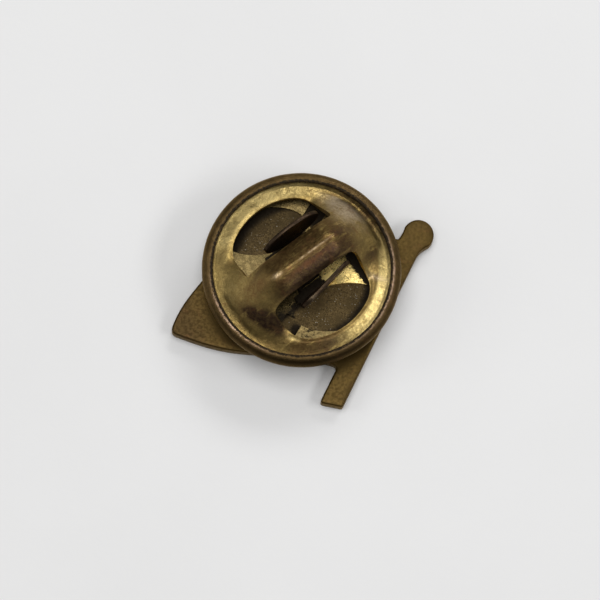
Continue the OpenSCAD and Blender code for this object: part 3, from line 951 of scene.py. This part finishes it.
class LAPELPIN_OT_clutch_cap(bpy.types.Operator):
    """Domed cap with the raised bridge between its two windows"""
    bl_idname = "lapelpin.clutch_cap"
    bl_label = "Clutch cap"
    edge_round = 0.06
    # Patches: strength, x, y, half-width, half-height and, where it has one, a turn in degrees
    stains = ((0.6, 0.2, -0.4, 1.8, 0.16), (0.4, 2.3, 0.05, 0.6, 0.2),
              (0.35, -3.6, 0.4, 0.8, 0.7), (0.4, -2.9, 0.4, 0.5, 0.5))
    # Soot patches: tarnish stains, and painted shade on the bridge's south-east flank and the
    # ring's south side
    soot_and_shade_patches = ((1.7, -3.95, -0.6, 0.8, 0.3, -66), (1.9, -3.45, -1.7, 0.75, 0.42, -66),
             (1.4, 0.3, -0.95, 2.5, 0.5), (1.1, 0.9, -0.4, 1.6, 0.22),
             (0.9, 2.6, 0.1, 0.6, 0.3), (0.5, -2.6, 0.9, 0.7, 0.15, 20),
             (0.85, 3.6, -1.8, 0.85, 0.38, 20), (0.6, -1.4, -4.5, 0.8, 0.35, -15),
             (0.5, 3.6, 0.0, 0.5, 0.4))
    # Gold patches: painted highlights on the ring and a window's lip
    gold_and_highlight_patches = ((0.2, -3.8, 1.1, 1.2, 1.1), (0.8, -2.6, 4.0, 0.4, 0.3),
             (0.6, -2.9, -3.0, 0.3, 0.14, -50))
    # Painted highlights on the bridge's crest and on a facet of the ring
    highlights = ((0.35, 0.7, 0.05, 1.1, 0.05), (0.6, -1.8, 0.1, 0.25, 0.12),
            (0.6, 3.15, -3.1, 0.6, 0.15, -50))

    def half(self, bm, form, side):
        """Faces round one window, out to the rim and to the middle of the bridge."""
        corner = math.atan2(-form.window_y, RIM_R)
        over, under = 130, 150
        turns = [mix(corner, math.pi - corner, i / over) for i in range(over)]
        turns += [mix(math.pi - corner, 2 * math.pi + corner, i / under) for i in range(under)]
        inner, outer = [], []
        for turn in turns:
            c, s = math.cos(turn), math.sin(turn)
            out = form.window_reach(turn, side > 0)
            inner.append((side * out * c, side * (form.window_y + out * s)))
            rim = -form.window_y * s + math.sqrt(RIM_R ** 2 - (form.window_y * c) ** 2)
            if s < 0:
                rim = min(rim, form.window_y / -s)
            outer.append((side * rim * c, side * (form.window_y + rim * s)))
        edges = loop(bm, inner) + loop(bm, outer)
        made = bmesh.ops.bridge_loops(bm, edges=edges)
        bmesh.ops.subdivide_edges(bm, edges=made["edges"], cuts=28, use_grid_fill=True)

    def tarnish(self, bm, form):
        """Paint brown patina on the bridge and patches on its feet, painted highlights on the
        crest and the ring's clean, lit sides, and painted shade in the rim's gap and on the ring's
        south side.
        """
        def around(v, turn, spread, start, end):
            return facing(v, turn, spread) * ease(reach(v), start, end)

        # Painted shade in the gap under the rim
        paint(bm, "grime", lambda v: 0.9 * ease(reach(v) + 0.04 * noise.noise(v.co * 3),
                                                5.10, 5.16))
        paint(bm, "stain", lambda v: patches(v, *self.stains))
        # Soot: tarnish, and painted shade on the flank and where the ring's north-east slope would
        # shine
        paint(bm, "soot", lambda v: patches(v, *self.soot_and_shade_patches) + 0.4 * around(v, 22, 32, 4.5, 4.66))
        # Patina on the bridge; painted shade on the ring's south and lower-left sides and past the
        # bridge's north-east foot
        paint(bm, "patina", lambda v: max(
            ease(form.bridge(v.co.x, v.co.y), 0.7, 1.7) * (1 - ease(-v.co.x, 1.8, 3.0)),
            1.5 * around(v, -117, 24, 3.9, 4.2), facing(v, 2, 36) * ease(v.co.x, 4.5, 4.75),
            0.6 * around(v, -155, 30, 4.5, 4.8),
            0.7 * around(v, -63, 45, 4.0, 4.1) * (1 - ease(reach(v), 4.35, 4.5))))
        # Bloom at the bridge's north-east end, lightened as painted light on that slope
        paint(bm, "bloom", lambda v: 1.8 * spot(v, 4.2, 1.4, 0.8, 1.2)
              * (1 - ease(reach(v), 4.6, 4.75)))
        # Painted highlights on the ring's lit east and north sides
        paint(bm, "gold", lambda v: patches(v, *self.gold_and_highlight_patches)
              + 1.6 * around(v, -58, 30, 4.35, 4.6) + 1.1 * around(v, 88, 34, 4.1, 4.5))
        # Painted highlights on the crest and a facet of the ring
        paint(bm, "wear", lambda v: patches(v, *self.highlights))

    def execute(self, context):
        sizes, finishes = settings(context, "clutch")
        form = CapForm(sizes)
        bm = bmesh.new()
        for side in (1, -1):
            part = bmesh.new()
            self.half(part, form, side)
            add(bm, part)
        bmesh.ops.remove_doubles(bm, verts=bm.verts, dist=1e-3)
        for v in bm.verts:
            v.co.z = form.face(v.co.x, v.co.y)
        bmesh.ops.recalc_face_normals(bm, faces=bm.faces)
        if sum(f.normal.z for f in bm.faces) < 0:
            bmesh.ops.reverse_faces(bm, faces=bm.faces)
        bmesh.ops.solidify(bm, geom=bm.faces[:], thickness=mm(sizes.sheet))
        top = max(v.co.z for v in bm.verts)
        move(bm, 0, 0, min(0, CAP_HIGH.z - top))
        round_edges(bm, sharp_edges(bm, 60), self.edge_round)
        self.tarnish(bm, form)
        turn_by(bm, TO_CLUTCH)
        material = old_brass("cap brass", finishes.cap, finishes, rough=0.39, mottle=0.7,
                             speck=0.8, stain=0.4, grain=0.013,
                             painted=("patina", "bloom", "gold", "soot"))
        finish(bm, "domed_cap", "clutch", material, ["clutch_cap"], 50)
        return {"FINISHED"}


class LAPELPIN_OT_clutch_spring(bpy.types.Operator):
    """Flat S-shaped spring that shows through both windows"""
    bl_idname = "lapelpin.clutch_spring"
    bl_label = "Clutch spring"
    openings = ((Vector((-0.25, 3.2)), Vector((2.5, 1.37))),
                (Vector((-0.46, 2.97)), Vector((2.62, 1.37))))
    opening_turn = math.radians(-25.5)
    arm_width = 0.4
    gap = 1.1
    slot_place = (1.75, 2.47)
    slot_turn = math.radians(21)
    inset = 1.05                      # from the clutch's edge to the spring's
    blade = 2                         # height of the solids that cut it

    def opening_solid(self, radius, turned_by, centre, half):
        """Oval opening, kept inside the arm, as a tall solid to cut with."""
        tilt = Matrix.Rotation(self.opening_turn, 2)
        points = []
        for i in range(96):
            a = 2 * math.pi * i / 96
            p = centre + tilt @ Vector((half.x * math.cos(a), half.y * math.sin(a)))
            if p.length > radius - self.arm_width:
                p = p.normalized() * (radius - self.arm_width)
            points.append(p)
        bm = bmesh.new()
        flat_sheet(bm, points)
        thicken(bm, self.blade)
        move(bm, 0, 0, -self.blade / 2)
        turn_by(bm, Matrix.Rotation(turned_by, 4, "Z"))
        return bm

    def slot_solid(self, turned_by):
        """Straight gap through one arm of the S, as a tall solid to cut with."""
        bm = bmesh.new()
        flat_sheet(bm, [(0, -self.gap), (4, -self.gap), (4, 0), (0, 0)])
        thicken(bm, self.blade)
        place = Matrix.Translation((*self.slot_place, -self.blade / 2))
        turn_by(bm, Matrix.Rotation(turned_by, 4, "Z") @ place
                @ Matrix.Rotation(self.slot_turn, 4, "Z"))
        return bm

    def execute(self, context):
        finishes = context.scene.lapelpin_finishes
        radius = CLUTCH_R - self.inset
        bm = bmesh.new()
        flat_sheet(bm, arc((0, 0), radius, 0, 358, 179), [arc((0, 0), HOLE_R, 0, 354, 59)])
        thicken(bm, SPRING_TOP - FLOOR_Z)
        for turned_by, (centre, half) in zip((0, math.pi), self.openings):
            bm = cut(bm, self.opening_solid(radius, turned_by, centre, half))
            bm = cut(bm, self.slot_solid(turned_by))
        round_edges(bm, sharp_edges(bm, 60), 0.025, 2)
        dense(bm, 0.14)
        # Painted shade on the spring under the bridge and in the windows' dark corners
        paint(bm, "grime", lambda v: max(
            1 - ease(abs(v.co.y), 0.2, 1.1), spot(v, -1.4, -1.6, 1.2, 0.5),
            ease(v.co.x, 2.3, 2.65) * ease(-v.co.y, 0.3, 0.9), spot(v, -2.5, -1.6, 0.6, 0.8),
            0.45 * spot(v, -1.8, -3.1, 1.2, 0.5)))
        # Bright brass, partly a painted pool of light in the lower window
        paint(bm, "gilt", lambda v: 3.0 * spot(v, 1.6, -1.6, 1.0, 1.0))
        move(bm, 0, 0, FLOOR_Z)
        turn_by(bm, TO_CLUTCH)
        material = old_brass("spring brass", finishes.spring, finishes, rough=0.32, mottle=0.4,
                             speck=1.0, stain=0.15, grain=0.008, pitted=0.56,
                             painted=("gilt",))
        finish(bm, "flat_spring", "clutch", material, ["clutch_spring"], flat=True)
        return {"FINISHED"}


class LAPELPIN_OT_jaws(bpy.types.Operator):
    """Two sliding jaws, each with a finger wing bent up from its leaf"""
    bl_idname = "lapelpin.jaws"
    bl_label = "Jaws"
    half_foot = 1.35
    half_neck = 0.75
    foot_height = 0.75
    half_leaf = 0.85
    leaf_thick = 0.2
    grip = 0.555                      # from the post's axis to the slot's gripping end
    half_slot = 0.595

    def wing(self, sizes, rise, skew, along):
        """The wing with its foot, drawn upright and then leant outward."""
        foot, neck, foot_h = self.half_foot, self.half_neck, self.foot_height
        half = mm(sizes.wing_length) / 2
        tall = mm(sizes.wing_height) / 2
        middle = rise - tall
        meet = math.degrees(math.asin(neck / half))
        oval = [Vector((along + half * math.sin(a), middle - tall * math.cos(a)))
                for a in (math.radians(mix(meet, 360 - meet, i / 64)) for i in range(65))]
        outline = ([(foot, 0), (foot, foot_h), (neck, foot_h)] + oval
                   + [(-neck, foot_h), (-foot, foot_h), (-foot, 0)])
        bm = bmesh.new()
        slot = [(-0.95, 0.21), (0.95, 0.21), (0.95, 0.55), (-0.95, 0.55)]
        flat_sheet(bm, outline, [slot])
        merge_flat(bm)
        thicken(bm, mm(sizes.wing_sheet))
        round_edges(bm, sharp_edges(bm, 70), 0.07)
        move(bm, 0, 0, -mm(sizes.wing_sheet) / 2)
        turn_by(bm, Matrix.Rotation(math.pi / 2 - sizes.lean, 4, "X")
                @ Matrix.Rotation(skew, 4, "Y"))
        for v in bm.verts:
            v.co.y += 0.7 * skew * v.co.x * max(0, v.co.z - foot_h)
        return bm

    def leaf(self, sizes):
        """The flat leaf, with the slot that grips the post."""
        end = -self.grip - 0.28
        heel = mm(sizes.root) + 0.05
        wide, leaf, slot = self.half_foot, self.half_leaf, self.half_slot
        outline = [(-leaf, end), (leaf, end), (leaf, heel - 0.5), (wide, heel - 0.5),
                   (wide, heel), (-wide, heel), (-wide, heel - 0.5), (-leaf, heel - 0.5)]
        hole = [(-slot, -self.grip), (slot, -self.grip), (slot, self.grip + 0.4),
                (-slot, self.grip + 0.4)]
        bm = bmesh.new()
        flat_sheet(bm, outline, [hole])
        thicken(bm, self.leaf_thick)
        dense(bm, 0.2)
        return bm

    def tarnish(self, bm, leaf_z, highlighted, gilt_and_light_amount):
        """Lay painted highlights on the wing's top edge, bright brass with a painted pool of light
        on the foot's end, and painted shade round it.
        """
        def foot(v):
            return (ease(-v.co.x, 0.45, 0.85) * ease(v.co.y, 0.6, 1.0)
                    * (1 - ease(v.co.z - leaf_z, 0.22, 0.3)))

        # Painted highlights on the wing's top edge
        paint(bm, "wear", lambda v: highlighted * ease(v.co.z, WING_TOP - 0.6, WING_TOP - 0.1)
              * patches(v, (1, 0.9, 1.9, 0.2, 0.6), (0.8, 1.5, 1.9, 0.25, 0.6)))
        # Bright brass, partly a painted pool of light, on the foot's end
        paint(bm, "gilt", lambda v: gilt_and_light_amount * foot(v))
        # Painted shade on the jaw's lower parts, under the bridge
        paint(bm, "grime", lambda v: (1 - ease(v.co.z, 3.0, 4.2)) * (1 - foot(v)))

    def execute(self, context):
        sizes, finishes = settings(context, "jaws")
        material = old_brass("jaw brass", finishes.jaw, finishes, rough=0.36, mottle=0.6,
                             speck=0.5, stain=0.3, grain=0.006, painted=("gilt",))
        for name, leaf_z, turned_by, skew, along, highlighted, gilt_and_light_amount in (
                ("left", LEFT_LEAF_Z, 0, 0, 0.6, 0, 0.35),
                ("right", RIGHT_LEAF_Z, math.pi, sizes.skew, -0.3, 0.3, 1)):
            rise = (WING_TOP - leaf_z) / math.cos(sizes.lean) - 0.02
            bm = self.leaf(sizes)
            wing = self.wing(sizes, rise, skew, along)
            move(wing, 0, mm(sizes.root), 0)
            add(bm, wing)
            move(bm, 0, 0, leaf_z)
            self.tarnish(bm, leaf_z, highlighted, gilt_and_light_amount)
            turn_by(bm, TO_CLUTCH @ Matrix.Rotation(turned_by, 4, "Z"))
            finish(bm, name + "_jaw_and_wing", name + "_jaw", material,
                   ["jaw_" + name], flat=True)
        return {"FINISHED"}


class LAPELPIN_OT_stage(bpy.types.Operator):
    """Pale floor, soft studio light and the camera above the clutch"""
    bl_idname = "lapelpin.stage"
    bl_label = "Stage"
    tilt = math.radians(13.5)
    azimuth = math.radians(3)
    roll = math.radians(12)
    distance = 0.26
    field = 0.0345                    # width of the view at the clutch
    aside = 0.00009                   # from the view's middle to the clutch's
    below = 0.00175
    boxes = (("overhead box", (-0.06, 0.0, 0.45), (0.34, 0.28), 1.06),
             ("north box", (0.06, 0.29, 0.22), (0.26, 0.09), 0.42),
             ("east box", (0.26, -0.01, 0.25), (0.22, 0.09), 0.33),
             ("west box", (-0.30, -0.05, 0.20), (0.12, 0.12), 0.12))

    def camera(self, context):
        """Look down on the clutch, tilted and rolled a little."""
        back = Vector((math.sin(self.azimuth) * math.sin(self.tilt),
                       -math.cos(self.azimuth) * math.sin(self.tilt), math.cos(self.tilt)))
        right = Vector((math.cos(self.roll), math.sin(self.roll), 0))
        right = (right - back * right.dot(back)).normalized()
        up = back.cross(right)
        rim_z = (BEAD_Z + 0.05) * MM
        target = Vector((0, 0, rim_z)) - right * self.aside - up * self.below
        data = bpy.data.cameras.new("camera")
        data.sensor_width = 36
        data.lens = data.sensor_width * self.distance / self.field
        data.clip_start = 0.01
        data.clip_end = 10
        cam = bpy.data.objects.new("camera", data)
        turn = Matrix((right, up, back)).transposed().to_4x4()
        cam.matrix_world = Matrix.Translation(target + back * self.distance) @ turn
        context.scene.collection.objects.link(cam)
        context.scene.camera = cam

    def softbox(self, context, name, place, size, power):
        """A rectangular light that faces the pin."""
        data = bpy.data.lights.new(name, "AREA")
        data.shape = "RECTANGLE"
        data.size, data.size_y = size
        data.energy = power
        light = bpy.data.objects.new(name, data)
        light.location = place
        light.rotation_euler = (-Vector(place)).to_track_quat("-Z", "Y").to_euler()
        context.scene.collection.objects.link(light)

    def floor(self, context):
        """A wide sheet of pale paper."""
        bm = bmesh.new()
        bmesh.ops.create_grid(bm, x_segments=8, y_segments=8, size=1.5)
        mesh = bpy.data.meshes.new("floor")
        bm.to_mesh(mesh)
        bm.free()
        floor = bpy.data.objects.new("floor", mesh)
        context.scene.collection.objects.link(floor)
        paper = Recipe("paper", {"Metallic": 0.0, "Specular IOR Level": 0.1})
        colour = paper.blend(paper.ramp(paper.noise(0.05, 4), 0.3, 0.7),
                             (0.80, 0.80, 0.80), (0.82, 0.82, 0.82))
        rough = paper.ramp(paper.noise(0.5, 3), 0.3, 0.7, 0.85, 0.95)
        mesh.materials.append(paper.done(colour, rough, paper.bump(paper.noise(2.0, 4), 0.01)))

    def execute(self, context):
        self.camera(context)
        self.floor(context)
        for box in self.boxes:
            self.softbox(context, *box)
        world = bpy.data.worlds.new("room")
        world.use_nodes = True
        world.node_tree.nodes["Background"].inputs["Color"].default_value = (1, 0.99, 0.98, 1)
        world.node_tree.nodes["Background"].inputs["Strength"].default_value = 0.16
        context.scene.world = world
        context.scene.view_settings.view_transform = "Standard"
        return {"FINISHED"}


class LAPELPIN_PT_panel(bpy.types.Panel):
    """Lists the steps that build the pin"""
    bl_idname = "LAPELPIN_PT_panel"
    bl_label = "Lapel Pin"
    bl_space_type = "VIEW_3D"
    bl_region_type = "UI"
    bl_category = "Lapel Pin"

    def draw(self, context):
        for step in STEPS:
            self.layout.operator(step.bl_idname)


GROUPS = {"lapelpin_plate": PlateSizes, "lapelpin_clutch": ClutchSizes,
          "lapelpin_jaws": JawSizes, "lapelpin_finishes": Finishes}
STEPS = (LAPELPIN_OT_stage, LAPELPIN_OT_flag_plate, LAPELPIN_OT_enamel, LAPELPIN_OT_post,
         LAPELPIN_OT_clutch_base, LAPELPIN_OT_clutch_spring, LAPELPIN_OT_clutch_cap,
         LAPELPIN_OT_jaws)


def register():
    for cls in (*GROUPS.values(), *STEPS, LAPELPIN_PT_panel):
        bpy.utils.register_class(cls)
    for name, group in GROUPS.items():
        setattr(bpy.types.Scene, name, PointerProperty(type=group))


def unregister():
    for name in GROUPS:
        delattr(bpy.types.Scene, name)
    for cls in reversed((*GROUPS.values(), *STEPS, LAPELPIN_PT_panel)):
        bpy.utils.unregister_class(cls)


def main():
    register()
    for step in STEPS:
        group, name = step.bl_idname.split(".")
        getattr(getattr(bpy.ops, group), name)()


if __name__ == "__main__":
    main()
